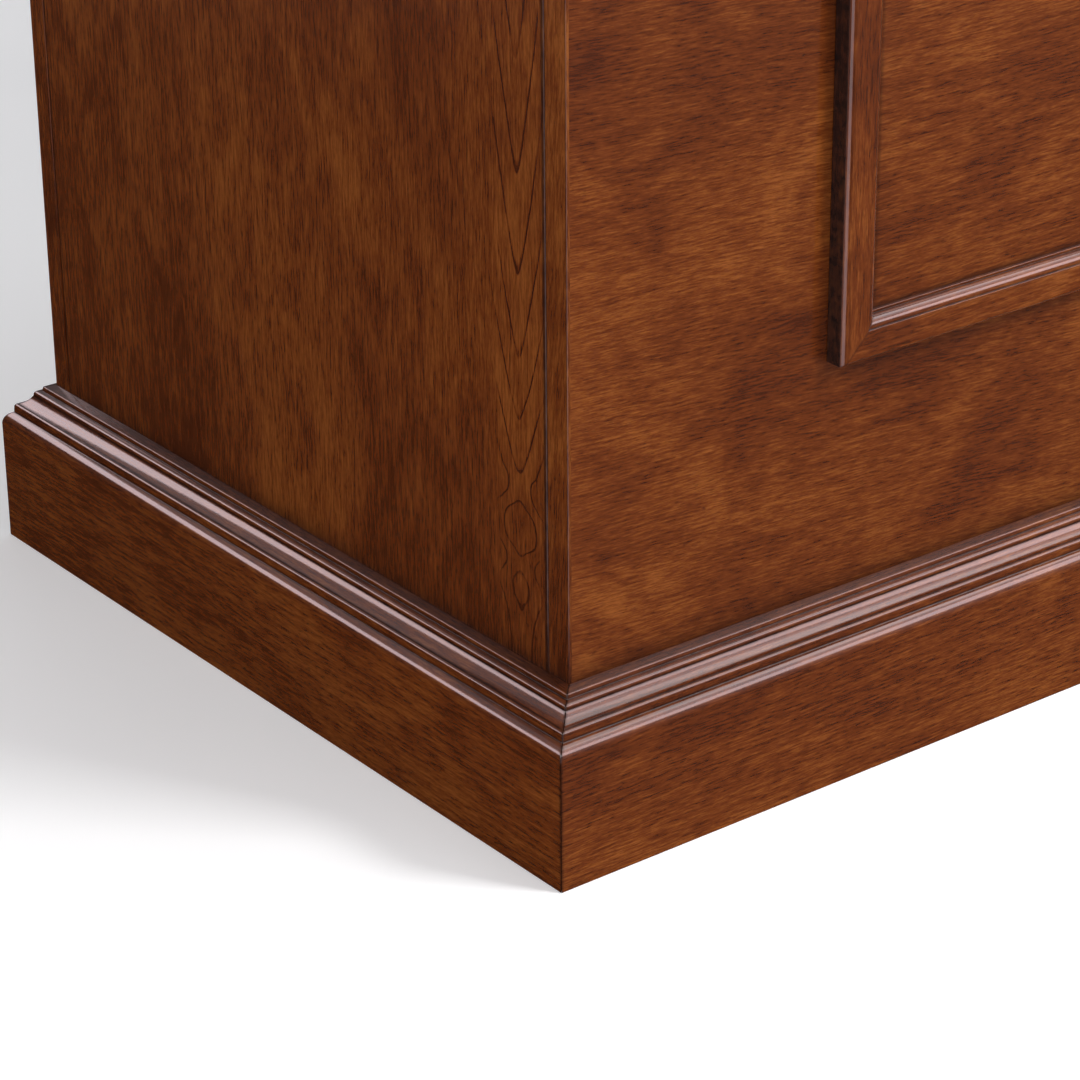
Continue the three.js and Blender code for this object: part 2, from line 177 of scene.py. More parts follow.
class Build:
    """Collects boards into one mesh, each with its own stretch of wood grain."""

    boards = 0

    def __init__(self):
        self.verts = []
        self.faces = []
        self.grain = []
        self.glaze_and_shade = []

    @classmethod
    def new_shift(cls):
        """The next board's own place in the wood."""
        cls.boards += 1
        return GRAIN_STEP * cls.boards

    def add(self, point, grain, glaze_and_shade):
        self.verts.append(tuple(point))
        self.grain.append(grain)
        self.glaze_and_shade.append(glaze_and_shade)
        return len(self.verts) - 1

    def skin(self, loops, closed=False):
        """Joins rings of vertices, and caps the ends unless they form a loop."""
        count = len(loops[0])
        pairs = list(zip(loops, loops[1:]))
        if closed:
            pairs.append((loops[-1], loops[0]))
        for low, high in pairs:
            for i in range(count):
                k = (i + 1) % count
                self.faces.append((low[i], low[k], high[k], high[i]))
        if not closed:
            self.faces.append(tuple(reversed(loops[0])))
            self.faces.append(tuple(loops[-1]))

    def sweep(self, outline, origin, u, v, length, shear=(0, 0), ease=0.6 * MM,
              grain=None, marks=(), ends=(0, 0), fade=MITRE_FADE, shift=None):
        """Pushes an outline on u and v along u x v. shear cuts the ends at a slant,
        by that share of the outline's u. marks are (distance, glaze and painted shade)
        rings between the ends, and ends is the glaze and painted shade there. grain is
        the wood's own axes: along the fibres, across them on the face, and into the board."""
        along = u.cross(v)
        fibre, across, depth = grain or (along, v, u)
        if shift is None:
            shift = self.new_shift()
        loops = []
        for distance, inset, glaze_and_shade, lean in stations(length, shear, ease, marks, ends, fade):
            loop = []
            for pu, pv, here in inset_outline(outline, inset) if inset else outline:
                point = origin + u * pu + v * pv + along * (distance + lean * pu)
                coords = Vector((point.dot(fibre), point.dot(across), point.dot(depth)))
                loop.append(self.add(point, coords + shift, max(here, glaze_and_shade)))
            loops.append(loop)
        self.skin(loops)

    def board(self, low, high, along, ease=BOARD_EASE, grain=None, shift=None):
        """An eased board between two corners, its length and grain along one axis."""
        u, v = {0: (Y, Z), 1: (Z, X), 2: (X, Y)}[axis_of(along)]
        size = high - low
        outline = rectangle(size.dot(u), size.dot(v), ease)
        self.sweep(outline, low, u, v, abs(size.dot(along)), ease=ease, grain=grain,
                   shift=shift)

    def turned(self, profile, origin, axis, steps=28):
        """A turned shape: profile is (radius, height along axis, glaze) in mm."""
        u = Z.cross(axis) if abs(axis.z) < 0.5 else X
        v = axis.cross(u)
        shift = self.new_shift()
        loops = []
        for radius, height, glaze_and_shade in profile:
            loop = []
            for i in range(steps):
                angle = 2 * math.pi * i / steps
                spoke = (u * math.cos(angle) + v * math.sin(angle)) * max(radius, 0.01)
                point = origin + (spoke + axis * height) * MM
                loop.append(self.add(point, point + shift, glaze_and_shade))
            loops.append(loop)
        self.skin(loops)

    def tube(self, path, radii, normal, steps=16):
        """A round rod along points that lie in the plane with this normal."""
        shift = self.new_shift()
        loops = []
        for i, (point, radius) in enumerate(zip(path, radii)):
            before = path[max(i - 1, 0)]
            after = path[min(i + 1, len(path) - 1)]
            tangent = (after - before).normalized()
            side = tangent.cross(normal).normalized()
            loop = []
            for k in range(steps):
                angle = 2 * math.pi * k / steps
                spoke = side * math.cos(angle) - normal * math.sin(angle)
                place = point + spoke * radius
                loop.append(self.add(place, place + shift, 0.0))
            loops.append(loop)
        self.skin(loops)

    def finish(self, name, material, node, smooth=35):
        """Makes the piece that stands for a CAD node. Edges over smooth degrees are sharp."""
        mesh = bpy.data.meshes.new(name)
        mesh.from_pydata(self.verts, [], self.faces)
        grain = mesh.attributes.new("grain", "FLOAT_VECTOR", "POINT")
        grain.data.foreach_set("vector", [c for g in self.grain for c in g])
        # Each point's glaze and painted shade, from 0 to 1.
        glaze_and_shade = mesh.attributes.new("glaze_and_shade", "FLOAT", "POINT")
        glaze_and_shade.data.foreach_set("value", self.glaze_and_shade)
        mesh.validate()
        mesh.shade_smooth()
        mesh.set_sharp_from_angle(angle=math.radians(smooth))
        mesh.materials.append(material)
        obj = bpy.data.objects.new(name, mesh)
        bpy.context.scene.collection.objects.link(obj)
        normals = obj.modifiers.new("flat_faces", "WEIGHTED_NORMAL")
        normals.keep_sharp = True
        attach(obj, BODY_OF[node])
        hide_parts(node)


def axis_of(direction):
    """The number of the axis that a direction lies along."""
    return max(range(3), key=lambda i: abs(direction[i]))


def stations(length, shear, ease, marks, ends, fade):
    """(distance, inset, glaze and painted shade, lean) of each ring of a sweep: the eased
    ends with the glaze and painted shade that fade from them, and the marks between."""
    def end(at_start):
        glaze_and_shade = ends[0] if at_start else ends[1]
        lean = shear[0] if at_start else -shear[1]
        rings = [(0, 0, glaze_and_shade, lean)]
        if ease:
            rings = [(0, ease, glaze_and_shade, lean), (ease * 0.3, ease * 0.3, glaze_and_shade, lean),
                     (ease, 0, glaze_and_shade, lean)]
        if glaze_and_shade:
            rings += [(ease + place, 0, glaze_and_shade * share, lean) for place, share in fade]
        return rings

    rings = end(True)
    rings += [(place, 0, glaze_and_shade, 0) for place, glaze_and_shade in marks]
    rings += [(length - d, inset, glaze_and_shade, lean) for d, inset, glaze_and_shade, lean in reversed(end(False))]
    return rings


# ---------------------------------------------------------------- node materials


class Nodes:
    """Short calls for wiring the nodes of one material or world."""

    def __init__(self, owner):
        self.owner = owner
        owner.use_nodes = True
        self.tree = owner.node_tree
        self.tree.nodes.clear()
        self.links = self.tree.links

    def node(self, kind, **settings):
        made = self.tree.nodes.new(kind)
        for key, value in settings.items():
            setattr(made, key, value)
        return made

    def plug(self, socket, value):
        if isinstance(value, bpy.types.NodeSocket):
            self.links.new(value, socket)
        else:
            socket.default_value = value

    def attribute(self, name, output):
        return self.node("ShaderNodeAttribute", attribute_name=name).outputs[output]

    def math(self, operation, a, b=0.0, c=None):
        made = self.node("ShaderNodeMath", operation=operation)
        self.plug(made.inputs[0], a)
        self.plug(made.inputs[1], b)
        if c is not None:
            self.plug(made.inputs[2], c)
        return made.outputs[0]

    def total(self, *parts):
        result = parts[0]
        for part in parts[1:]:
            result = self.math("ADD", result, part)
        return result

    def scaled(self, vector, scale):
        made = self.node("ShaderNodeVectorMath", operation="MULTIPLY")
        self.plug(made.inputs[0], vector)
        self.plug(made.inputs[1], scale)
        return made.outputs[0]

    def combine(self, x, y, z):
        made = self.node("ShaderNodeCombineXYZ")
        for socket, value in zip(made.inputs, (x, y, z)):
            self.plug(socket, value)
        return made.outputs[0]

    def split(self, vector):
        made = self.node("ShaderNodeSeparateXYZ")
        self.plug(made.inputs[0], vector)
        return made.outputs

    def noise(self, vector, scale, detail=2.0, roughness=0.5, distortion=0.0):
        """Noise from 0 to 1 about 0.5, on a vector stretched by scale."""
        made = self.node("ShaderNodeTexNoise")
        self.plug(made.inputs["Vector"], self.scaled(vector, scale))
        made.inputs["Scale"].default_value = 1.0
        made.inputs["Detail"].default_value = detail
        made.inputs["Roughness"].default_value = roughness
        made.inputs["Distortion"].default_value = distortion
        return made.outputs["Fac"]

    def centred(self, value, amount):
        """(value - 0.5) x amount."""
        return self.math("MULTIPLY_ADD", value, amount, -0.5 * amount)

    def between(self, value, low, high, to_low=0.0, to_high=1.0, shape="SMOOTHSTEP"):
        made = self.node("ShaderNodeMapRange", interpolation_type=shape)
        self.plug(made.inputs["Value"], value)
        made.inputs["From Min"].default_value = low
        made.inputs["From Max"].default_value = high
        made.inputs["To Min"].default_value = to_low
        made.inputs["To Max"].default_value = to_high
        return made.outputs["Result"]

    def curve(self, value, points):
        made = self.node("ShaderNodeFloatCurve")
        self.plug(made.inputs["Value"], value)
        line = made.mapping.curves[0]
        while len(line.points) < len(points):
            line.points.new(0.5, 0.5)
        for point, place in zip(line.points, points):
            point.location = place
        made.mapping.update()
        return made.outputs["Value"]

    def ramp(self, value, stops):
        made = self.node("ShaderNodeValToRGB")
        self.plug(made.inputs[0], value)
        elements = made.color_ramp.elements
        while len(elements) < len(stops):
            elements.new(0.5)
        for element, (place, colour) in zip(elements, stops):
            element.position = place
            element.color = (*colour, 1)
        return made.outputs[0]

    def mix(self, factor, a, b, blend="MIX"):
        made = self.node("ShaderNodeMix", data_type="RGBA", blend_type=blend)
        self.plug(made.inputs[0], factor)
        self.plug(made.inputs[6], a)
        self.plug(made.inputs[7], b)
        return made.outputs[2]

    def bump(self, height, distance, strength=1.0):
        made = self.node("ShaderNodeBump")
        made.inputs["Strength"].default_value = strength
        made.inputs["Distance"].default_value = distance
        self.plug(made.inputs["Height"], height)
        return made.outputs[0]

    def shader(self, **values):
        made = self.node("ShaderNodeBsdfPrincipled")
        for key, value in values.items():
            self.plug(made.inputs[key.replace("_", " ")], value)
        output = self.node("ShaderNodeOutputMaterial")
        self.links.new(made.outputs[0], output.inputs[0])
        return self.owner


def new_material(name):
    return Nodes(bpy.data.materials.new(name))


# Palettes: a pore line, then the dark, middle and light of the wood.
CHERRY = ((0.020, 0.0046, 0.0012), (0.060, 0.0112, 0.0019),
          (0.122, 0.0262, 0.0042), (0.225, 0.065, 0.0115))
BIRCH = ((0.24, 0.12, 0.050), (0.44, 0.27, 0.130), (0.58, 0.40, 0.225), (0.68, 0.51, 0.32))
# The dark of the glaze, which also serves as painted shade.
GLAZE_AND_SHADE_COLOUR = (0.0085, 0.0042, 0.0036, 1)


LACQUER_IOR = 1.7
LACQUER_ROUGHNESS = 0.13
GLAZED_AND_SHADED_LACQUER = 0.75  # share of the gloss that full glaze and painted shade take away


def growth_rings(n, place, fibre, spacing, early, irregular):
    """Late wood, from 0 to 1, in uneven and broken rings along place."""
    uneven = n.centred(n.noise(n.combine(0.0, place, 0.0), (1, 60, 1), 1), irregular)
    phase = n.math("FRACT", n.math("ADD", n.math("DIVIDE", place, spacing * MM), uneven))
    late = n.math("MULTIPLY", n.between(phase, early, 0.95), n.between(phase, 1.0, 0.965))
    broken = n.between(n.noise(fibre, (11, 60, 60), 2), 0.38, 0.58, 0.35, 1.0)
    return n.math("MULTIPLY", late, broken)


def pore_lines(n, fibre, grain, size):
    """Pores, from 0 to 1, that lie in drifts. size is their noise's scale along the
    fibres and across them."""
    lines = n.noise(fibre, (size[0], size[1], size[1]), 2, 0.6)
    drifts = n.between(n.noise(grain, (9, 34, 34), 2), 0.38, 0.62, 0.25, 1.0)
    return n.math("MULTIPLY", n.between(lines, 0.57, 0.70), drifts)


def wood(name, palette=CHERRY, warp=6.0, slant=0.0, rings=0.2, spacing=9.0, streaks=0.3,
         fine=0.3, mottle=0.3, flecks=0.5, pore_size=(75, 640), figure=None, early=0.35,
         irregular=1.1, coat=1.0):
    """Lacquered wood. warp is the sway of its fibres and spacing the width of a growth
    ring, both in mm, and slant is the fibres' lean. rings, streaks, fine, mottle and
    flecks are how strongly rings, wide and hair-fine streaks, clouds and pores show.
    early is the pale share of a ring, irregular is how uneven the rings are, figure
    bends them into a flat-sawn pattern, and coat is the weight of the lacquer."""
    n = new_material(name)
    pore, dark, mid, light = palette
    grain = n.attribute("grain", "Vector")
    u, v, w = n.split(grain)

    # The fibres wander, and everything that follows them wanders too.
    sway = n.centred(n.noise(grain, (2.6, 8, 8), 2), warp * MM)
    ripple = n.centred(n.noise(grain, (17, 46, 46), 2), 1.6 * MM)
    across = n.total(v, n.math("MULTIPLY", u, slant), sway, ripple)
    fibre = n.combine(u, across, w)

    place = n.math("MULTIPLY_ADD", w, 0.3, across)
    strength = -rings
    if figure:
        place, shown = figure(n, u, across)
        strength = n.math("MULTIPLY", shown, -rings)
    late = growth_rings(n, place, fibre, spacing, early, irregular)
    ring_tone = n.math("MULTIPLY", late, strength)

    # The tone, from dark at 0 to light at 1.
    coarse = n.centred(n.noise(fibre, (14, 140, 140), 3, 0.65), 2.8 * streaks)
    hair = n.centred(n.noise(fibre, (55, 600, 600), 3, 0.8), 6.5 * fine)
    cloud = n.centred(n.noise(grain, (12, 19, 19), 3, 0.6, 0.8), 3.2 * mottle)
    broad = n.centred(n.noise(grain, (2.6, 6.5, 6.5), 1), 2.6 * mottle)
    value = n.total(0.5, ring_tone, coarse, hair, cloud, broad)
    colour = n.ramp(value, ((0.0, dark), (0.5, mid), (1.0, light)))

    pores = pore_lines(n, fibre, grain, pore_size)
    colour = n.mix(n.math("MULTIPLY", pores, flecks), colour, (*pore, 1))

    # Dark glaze, a little worn, dulls the lacquer over it. The same mark is also painted shade:
    # darker in hollows, grooves, recesses and just above the plinth.
    worn = n.between(n.noise(grain, (120, 160, 160), 3, 0.6), 0.25, 0.75, 0.72, 1.0)
    glaze_and_shade = n.math("MULTIPLY", n.attribute("glaze_and_shade", "Fac"), worn)
    colour = n.mix(glaze_and_shade, colour, GLAZE_AND_SHADE_COLOUR)
    polish = n.math("MULTIPLY_ADD", glaze_and_shade, -GLAZED_AND_SHADED_LACQUER * coat, coat)
    film = n.noise(grain, (90, 140, 140), 2, 0.5)
    height = n.math("MULTIPLY_ADD", pores, -0.5, n.math("MULTIPLY", hair, 0.25))
    roughness = n.between(n.math("ADD", coarse, 0.5), 0.0, 1.0, 0.42, 0.56)
    return n.shader(Base_Color=colour, Roughness=roughness,
                    Normal=n.bump(height, 0.05 * MM, 0.5), Specular_IOR_Level=0.0,
                    Coat_Weight=polish, Coat_Roughness=LACQUER_ROUGHNESS,
                    Coat_IOR=LACQUER_IOR, Coat_Normal=n.bump(film, 0.10 * MM, 0.2))


# Flat-sawn figure: (share of the climb up the board, how far out a ring lies there).
LOOPS = ((0.0, 0.54), (0.193, 0.70), (0.243, 0.695), (0.2777, 0.65), (0.2967, 0.612),
         (0.3157, 0.65), (0.3267, 0.673), (0.34, 0.646), (0.368, 0.546), (0.4017, 0.65),
         (0.4217, 0.70), (0.44, 0.65), (0.505, 0.535), (0.57, 0.43), (1.0, 0.0))


LOOPS_HIGH = 600 * MM
LOOPS_REACH = 130 * MM
LOOPS_BLUNT = 4 * MM  # radius of their tips
LOOPS_CENTRE = 28 * MM  # from the edge of the end panel


def loops_figure(centre, foot):
    """V shapes above and closed loops below, about a line at centre across the board,
    on a board that starts at foot. Also gives how much the rings show, from 0 to 1."""
    def figure(n, u, across):
        climb = n.between(u, foot, foot + LOOPS_HIGH, shape="LINEAR")
        swell = n.curve(climb, LOOPS)
        away = n.math("SUBTRACT", across, centre)
        spread = n.math("SQRT", n.math("MULTIPLY_ADD", away, away, LOOPS_BLUNT ** 2))
        shown = n.between(spread, 14 * MM, 32 * MM, 1.0, 0.08)
        return n.math("MULTIPLY_ADD", swell, LOOPS_REACH, spread), shown
    return figure


END_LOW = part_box("left_end_panel")[0]
PANEL_LOOK = dict(warp=14, slant=0.06, rings=0.08, spacing=22, streaks=0.16, fine=0.31,
                  mottle=0.40, flecks=0.32, pore_size=(140, 680))

WOOD_SOLID = wood("cherry_solid", warp=5, rings=0.14, spacing=7, streaks=0.28, fine=0.34,
                  mottle=0.26, flecks=0.42, pore_size=(120, 680))
WOOD_PANEL = wood("cherry_panel", **PANEL_LOOK)
WOOD_SATIN = wood("cherry_satin", coat=0.3, **PANEL_LOOK)
WOOD_END = wood("cherry_end", warp=6, rings=0.85, spacing=15, streaks=0.24, fine=0.32,
                mottle=0.32, flecks=0.25, early=0.82, irregular=0.2,
                figure=loops_figure(END_LOW.y + LOOPS_CENTRE, END_LOW.z))
WOOD_FRONT = wood("cherry_front", warp=7, rings=0.12, spacing=10, streaks=0.3,
                  mottle=0.32, flecks=0.4)
WOOD_TOP = wood("cherry_top", warp=16, rings=0.2, spacing=16, streaks=0.3,
                mottle=0.34, flecks=0.4)
WOOD_DRAWER = wood("birch", BIRCH, warp=8, rings=0.12, spacing=14, streaks=0.25,
                   mottle=0.3, flecks=0.25, coat=0.15)


def brass():
    n = new_material("antique_brass")
    place = n.attribute("grain", "Vector")
    patches = n.noise(place, (160, 160, 160), 4, 0.65, 0.4)
    specks = n.noise(place, (900, 900, 900), 2, 0.6)
    colour = n.ramp(n.total(n.centred(patches, 1.2), n.centred(specks, 0.4), 0.5), (
        (0.15, (0.055, 0.030, 0.012)), (0.5, (0.27, 0.165, 0.062)), (0.9, (0.46, 0.31, 0.13))))
    dark = n.attribute("glaze_and_shade", "Fac")
    colour = n.mix(dark, colour, (0.014, 0.009, 0.006, 1))
    roughness = n.between(patches, 0.3, 0.7, 0.42, 0.26)
    return n.shader(Base_Color=colour, Metallic=1.0, Roughness=roughness,
                    Normal=n.bump(specks, 0.08 * MM, 0.4))


def steel():
    n = new_material("zinc_steel")
    place = n.attribute("grain", "Vector")
    brushed = n.noise(place, (30, 1500, 1500), 3, 0.6)
    spangle = n.noise(place, (60, 60, 60), 2, 0.5, 1.0)
    colour = n.ramp(n.total(n.centred(brushed, 0.7), n.centred(spangle, 0.6), 0.5), (
        (0.1, (0.30, 0.30, 0.29)), (0.5, (0.46, 0.46, 0.45)), (0.9, (0.60, 0.60, 0.58))))
    return n.shader(Base_Color=colour, Metallic=1.0,
                    Roughness=n.between(brushed, 0.2, 0.8, 0.28, 0.44),
                    Normal=n.bump(brushed, 0.03 * MM, 0.5))


BRASS = brass()
STEEL = steel()

# ---------------------------------------------------------------- mouldings

LEDGE_TOP = 132.2 * MM
LEDGE_GLAZE_AND_SHADE = 0.55  # at least, behind the ledge's front edge: glaze, with painted shade from the panel above


def plinth_outline():
    """Fascia, quarter round, step, nose and cove, second nose, step and ledge, glazed and
    darkened with painted shade.
    """
    points = [(0, 0)]
    points += arc(10.5, 97, 10.5, 180, 112, 10)
    points += [(7.4, 107.2)]
    points += arc(10.2, 111.8, 2.6, 167, 88, 5)
    points += bend((10.4, 114.5), (16.4, 117.0), (19.2, 122.1), 9)
    points += arc(22.2, 123.2, 2.9, 180, 90, 6)
    points += [(24.3, 126.5), (24.9, 129.3)]
    points += [(25.3, 129.9), (32.7, LEDGE_TOP / MM), (32.7, 0)]
    result = []
    for u, v, glaze_and_shade in section(points):
        # The ledge is darkened: glaze, and painted shade where the panel above shades it.
        on_ledge = u > 26 * MM and v > 130 * MM
        result.append((u, v, max(glaze_and_shade, LEDGE_GLAZE_AND_SHADE) if on_ledge else glaze_and_shade))
    return result


def bed_outline():
    """Bead, fillet, cove and ovolo, from the panel out to the top's underside."""
    points = [(29.7, 0)]
    points += arc(27.7, 3, 3, -90, -270, 10)
    points += [(25.7, 7.5)]
    points += arc(5.5, 8, 20, 0, 90, 12)
    points += [(5.5, 30.5)]
    points += arc(5.5, 36, 5.5, -90, -180, 6)
    points += [(0, 39.7), (29.7, 39.7)]
    return section(points)


def corner_at(low, high, *directions):
    """The corner of a box that is furthest back against each direction."""
    corner = Vector(low)
    for direction in directions:
        axis = axis_of(direction)
        if direction[axis] < 0:
            corner[axis] = high[axis]
    return corner


def run_moulding(node, outline, inward, mitres):
    """A moulding where its CAD board is. inward points from its face into the desk,
    and mitres says which ends are cut at 45 degrees."""
    low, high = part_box(node)
    along = inward.cross(Z)
    build = Build()
    build.sweep(outline, corner_at(low, high, inward, along), inward, Z,
                abs((high - low).dot(along)), shear=mitres, ease=0.5 * MM,
                ends=[MITRE_GLAZE * m for m in mitres])
    build.finish(node + "_board", WOOD_SOLID, node)


PLINTH = plinth_outline()
run_moulding("visitor_plinth", PLINTH, Y, (1, 1))
run_moulding("left_end_plinth", PLINTH, X, (1, 1))
run_moulding("right_end_plinth", PLINTH, -X, (1, 0))
run_moulding("left_front_plinth", PLINTH, -Y, (1, 1))
run_moulding("left_knee_plinth", PLINTH, -X, (0, 1))
run_moulding("return_back_plinth", PLINTH, -X, (0, 1))
run_moulding("return_end_plinth", PLINTH, -Y, (1, 1))
run_moulding("return_front_plinth", PLINTH, X, (1, 1))
run_moulding("return_knee_plinth", PLINTH, Y, (1, 0))

BED = bed_outline()
run_moulding("visitor_bed_mould", BED, Y, (1, 1))
run_moulding("left_bed_mould", BED, X, (0, 1))
run_moulding("right_bed_mould", BED, -X, (1, 1))
run_moulding("return_bed_mould", BED, -Y, (1, 0))

# ---------------------------------------------------------------- panels

GROOVE = 2.0 * MM
GROOVE_GLAZE = 0.85
ARRIS = 1.2 * MM
ARRIS_GLAZE = 0.75
LIPPING = 2.4 * MM
PANEL_FOOT_GLAZE_AND_SHADE = ((0, 0.5), (4 * MM, 0.36), (9 * MM, 0.16), (20 * MM, 0.0))  # glaze and painted shade, darkest just above the plinth
CORNERS = ((-1, -1), (1, -1), (1, 1), (-1, 1))

# A board's fibres, then across them on its face, then into the board.
RISING_X = (Z, X, Y)
RISING_Y = (Z, Y, X)
LEVEL_X = (X, Z, Y)
LEVEL_Y = (Y, Z, X)


def panel_outline(low, high, grooves, square=()):
    """Plan of an upright board: chamfers at the grooves and eased arrises elsewhere,
    with glaze rubbed into both, and square where it is glued to its neighbour."""
    corners = [(low.x, low.y), (high.x, low.y), (high.x, high.y), (low.x, high.y)]
    result = []
    for i, sign in enumerate(CORNERS):
        if sign in square:
            result.append((*corners[i], 0.0))
            continue
        groove = sign in grooves
        edge = GROOVE if groove else ARRIS
        curve = rounded_corner(corners, i, edge, 5)
        glazed_to = rounded_corner(corners, i, edge + 1.8 * MM, 1)[0]
        result.append((*glazed_to, 0.0))
        for k, (x, y) in enumerate(curve):
            worn = ARRIS_GLAZE * (1 - k / (len(curve) - 1))
            result.append((x, y, GROOVE_GLAZE if groove else worn))
        glazed_to = rounded_corner(corners, i, edge + 1.2 * MM, 1)[-1]
        result.append((*glazed_to, 0.0))
    return result


def panel_marks(low):
    """Rings of glaze and painted shade up a panel that starts at low, dark just above the
    plinth.
    """
    return [(LEDGE_TOP - low + rise, glaze_and_shade) for rise, glaze_and_shade in PANEL_FOOT_GLAZE_AND_SHADE]


def upright_panel(node, grain, material, grooves=()):
    """A standing board. grooves are the plan corners, as (x side, y side) of -1 or 1,
    that are chamfered for a V-groove."""
    low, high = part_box(node)
    build = Build()
    build.sweep(panel_outline(low, high, grooves), Z * low.z, X, Y, high.z - low.z,
                ease=BOARD_EASE, marks=panel_marks(low.z), grain=grain, shift=NO_SHIFT)
    build.finish(node + "_board", material, node)


def visitor_panel():
    """The wide panel, with a rising-grain lipping glued on at each end."""
    node = "visitor_panel"
    low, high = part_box(node)
    inner_low, inner_high = low + X * LIPPING, high - X * LIPPING
    build = Build()
    for start, end, grain, square in (
        (low, Vector((inner_low.x, high.y, high.z)), RISING_Y, ((1, -1), (1, 1))),
        (inner_low, inner_high, LEVEL_X, CORNERS),
        (Vector((inner_high.x, low.y, low.z)), high, RISING_Y, ((-1, -1), (-1, 1))),
    ):
        outline = panel_outline(start, end, ((-1, 1), (1, 1)), square)
        build.sweep(outline, Z * low.z, X, Y, high.z - low.z, ease=BOARD_EASE,
                    marks=panel_marks(low.z), grain=grain, shift=NO_SHIFT)
    build.finish(node + "_boards", WOOD_PANEL, node)


visitor_panel()
upright_panel("left_end_panel", RISING_Y, WOOD_END, ((-1, -1), (-1, 1)))
upright_panel("right_end_panel", RISING_Y, WOOD_END, ((1, -1), (1, 1)))
upright_panel("return_back_panel", LEVEL_Y, WOOD_SATIN, ((1, -1), (-1, 1)))
upright_panel("return_end_panel", RISING_X, WOOD_END, ((-1, 1), (1, 1)))
upright_panel("corner_gable", RISING_Y, WOOD_SATIN)
upright_panel("left_knee_side", RISING_Y, WOOD_SATIN)
upright_panel("return_knee_side", RISING_X, WOOD_SATIN)


def whole_board(node, along, material, ease=BOARD_EASE):
    build = Build()
    build.board(*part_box(node), along, ease)
    build.finish(node + "_board", material, node)


whole_board("return_apron", Y, WOOD_SOLID, 1.5 * MM)
whole_board("left_bottom", Y, WOOD_PANEL)
whole_board("return_bottom", X, WOOD_PANEL)

# ---------------------------------------------------------------- framed slabs

FIELD_DEPTH = 9.5 * MM
FIELD_GAP = 0.1 * MM
FIELD_RIM = 5 * MM  # where the glaze and painted shade round the sunk field fade
FIELD_GLAZE_AND_SHADE = 0.85
MEMBER_PAST_INSET = 10
STEP_DOWN = 8  # from the frame's face to its inner step


def frame_outline(thick, inset):
    """Section of one member of a framed slab: in from its outer edge, and out from its
    back. A bullnose outside, and a quirk, an ovolo and a step inside."""
    points = [(0, 0)]
    points += arc(5.5, thick - 5.5, 5.5, 180, 90, 8)
    points += [(inset, thick), (inset, thick - 1.2)]
    step = thick - STEP_DOWN
    inner = inset + MEMBER_PAST_INSET
    points += arc(inset + 1, step, 6.8, 90, 0, 8)
    points += [(inner, step), (inner, 0)]
    result = []
    for u, v, glaze_and_shade in section(points, ease=0.4, spread=0.8):
        # The outer side is painted fully dark: painted shade beside the slab, with glaze.
        shaded_outer_side = u < 1 * MM and v < (thick - 4) * MM
        result.append((u, v, 1.0 if shaded_outer_side else glaze_and_shade))
    return result


def framed_slab(node, outward, inset, field_grain):
    """A mitred frame round a sunk field, standing where its CAD slab is."""
    low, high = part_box(node)
    size = high - low
    side = Z.cross(outward)
    thick = abs(size.dot(outward))
    wide = abs(size.dot(side))
    base = corner_at(low, high, outward, side)
    outline = frame_outline(thick / MM, inset / MM)
    build = Build()
    for corner, inward in (
        (base, Z), (base + side * wide, -side),
        (base + side * wide + Z * size.z, -Z), (base + Z * size.z, side),
    ):
        along = inward.cross(outward)
        build.sweep(outline, corner, inward, outward, abs(size.dot(along)),
                    shear=(1, 1), ease=0.2 * MM, ends=(0.4, 0.4))

    start = inset + MEMBER_PAST_INSET * MM + FIELD_GAP
    field_wide = wide - 2 * start
    field_thick = thick - FIELD_DEPTH
    # Glaze and painted shade in the recess round the field's edges.
    plan = [(0, 0, FIELD_GLAZE_AND_SHADE), (FIELD_RIM, 0, 0), (field_wide - FIELD_RIM, 0, 0),
            (field_wide, 0, FIELD_GLAZE_AND_SHADE), (field_wide, field_thick, 0), (0, field_thick, 0)]
    front = base + outward * field_thick + side * start + Z * start
    build.sweep(plan, front, side, -outward, size.z - 2 * start, ease=0,
                ends=(FIELD_GLAZE_AND_SHADE, FIELD_GLAZE_AND_SHADE), fade=((FIELD_RIM, 0.0),), grain=field_grain)
    build.finish(node + "_panel", WOOD_FRONT, node)


for i in (1, 2, 3):
    framed_slab(f"visitor_raised_panel_{i}", -Y, 22 * MM, LEVEL_X)
    framed_slab(f"left_drawer_{i}_front", Y, 18 * MM, LEVEL_X)
for i in (1, 2):
    framed_slab(f"return_drawer_{i}_front", -X, 18 * MM, LEVEL_Y)

# ---------------------------------------------------------------- tops

EDGE_WIDE = 46
BAND_WIDE = 62 * MM
LEAF_WIDE = 170 * MM
HAIR = 0.15 * MM  # the gap and the ease where flush boards meet
TOP_MITRE_GLAZE = 0.5


def top_edge_outline():
    """Two rounds with a small step between them, thick at the underside."""
    points = [(EDGE_WIDE, 0)]
    points += arc(9, 6, 6, 270, 180, 6)
    points += arc(7, 14, 7, 240, 120, 9)
    points += [(6, 20.5)]
    points += arc(16, 20, 10, 175, 90, 8)
    points += [(EDGE_WIDE, 30)]
    return section(points, ease=0.3)


def ring_of_boards(build, outline, low, high, open_side, ease, across_grain):
    """Mitred boards round a rectangle. open_side is left out, and the boards beside
    it end square there."""
    size = high - low
    for inward in (Y, -X, -Y, X):
        along = inward.cross(Z)
        if open_side is not None and inward == -open_side:
            continue
        mitres = [0 if open_side is not None and end == open_side else 1
                  for end in (-along, along)]
        grain = (inward, along, Z) if across_grain else None
        build.sweep(outline, corner_at(low, high, inward, along), inward, Z,
                    abs(size.dot(along)), shear=mitres, ease=ease, grain=grain,
                    ends=[TOP_MITRE_GLAZE * m for m in mitres])


